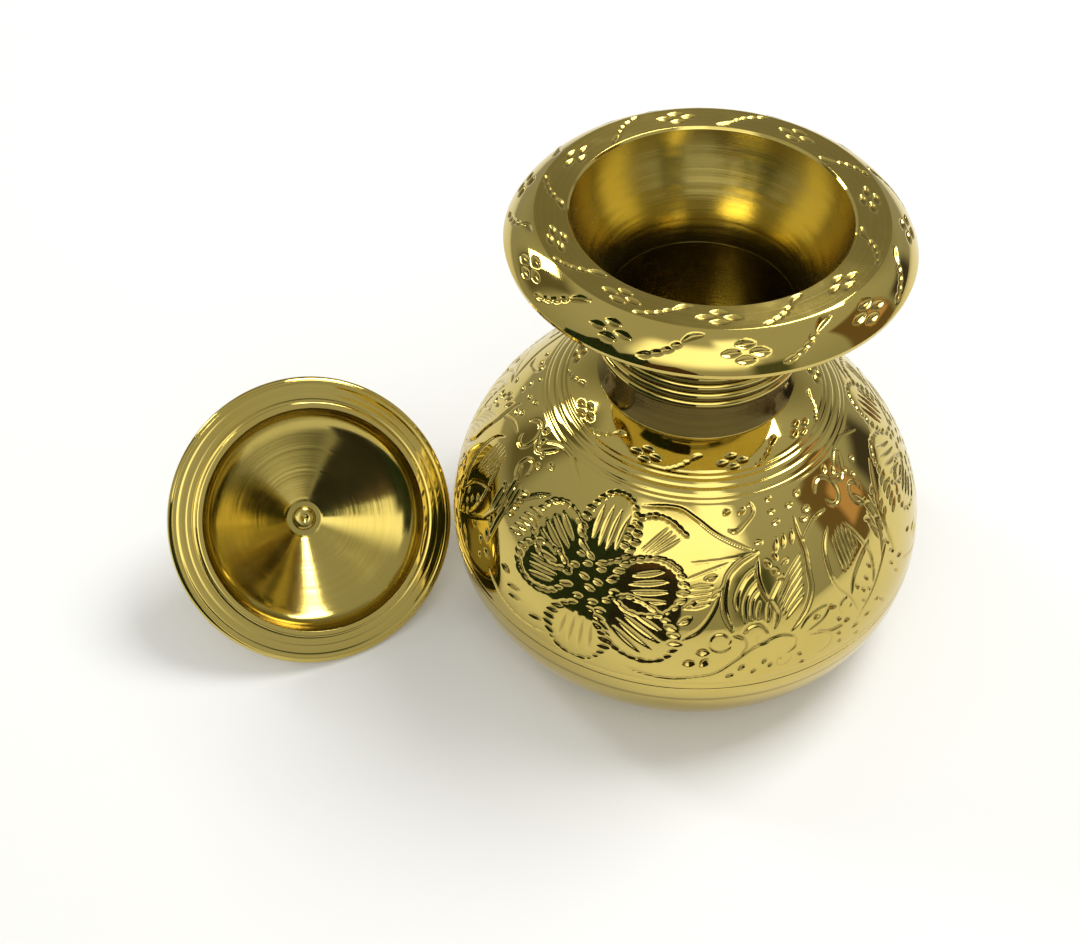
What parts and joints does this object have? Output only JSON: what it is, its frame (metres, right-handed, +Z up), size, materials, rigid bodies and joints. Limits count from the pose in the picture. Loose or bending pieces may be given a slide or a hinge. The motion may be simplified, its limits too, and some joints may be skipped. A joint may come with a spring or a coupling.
{
  "type": "brass kalash pot with lid",
  "caption": "Round engraved brass water pot with a ringed neck, wide flared mouth and a loose domed lid lying hollow side up beside it.",
  "frame": {"origin": "centre of the pot's flat base, on the table", "axes": "+Z up along the pot's own axis, -Y towards the viewer, -X towards the side where the lid lies"},
  "size_m": [0.1733, 0.1106, 0.112],
  "materials": {
    "belly_brass": "polished, hand engraved",
    "collar_brass": "mirror polished",
    "rim_brass": "polished slope, lathe-brushed flat ring, orange-gold funnel",
    "lid_brass": "lathe-brushed",
    "knob_brass": "polished turning"
  },
  "bodies": {
    "pot": {"lower_bowl": "belly_brass", "shoulder_shell": "belly_brass", "neck_collar": "collar_brass", "mouth_rim": "rim_brass"},
    "lid": {"lid_plate": "lid_brass", "lid_knob": "knob_brass"}
  },
  "joints": [
    {"name": "lid_turn", "type": "hinge", "parent": "pot", "child": "lid", "pos_m": [-0.04359, -0.01001, 0.07081], "axis": [-0.5636, 0.7276, 0.3911], "range_deg": [0, 181.38]}
  ]
}
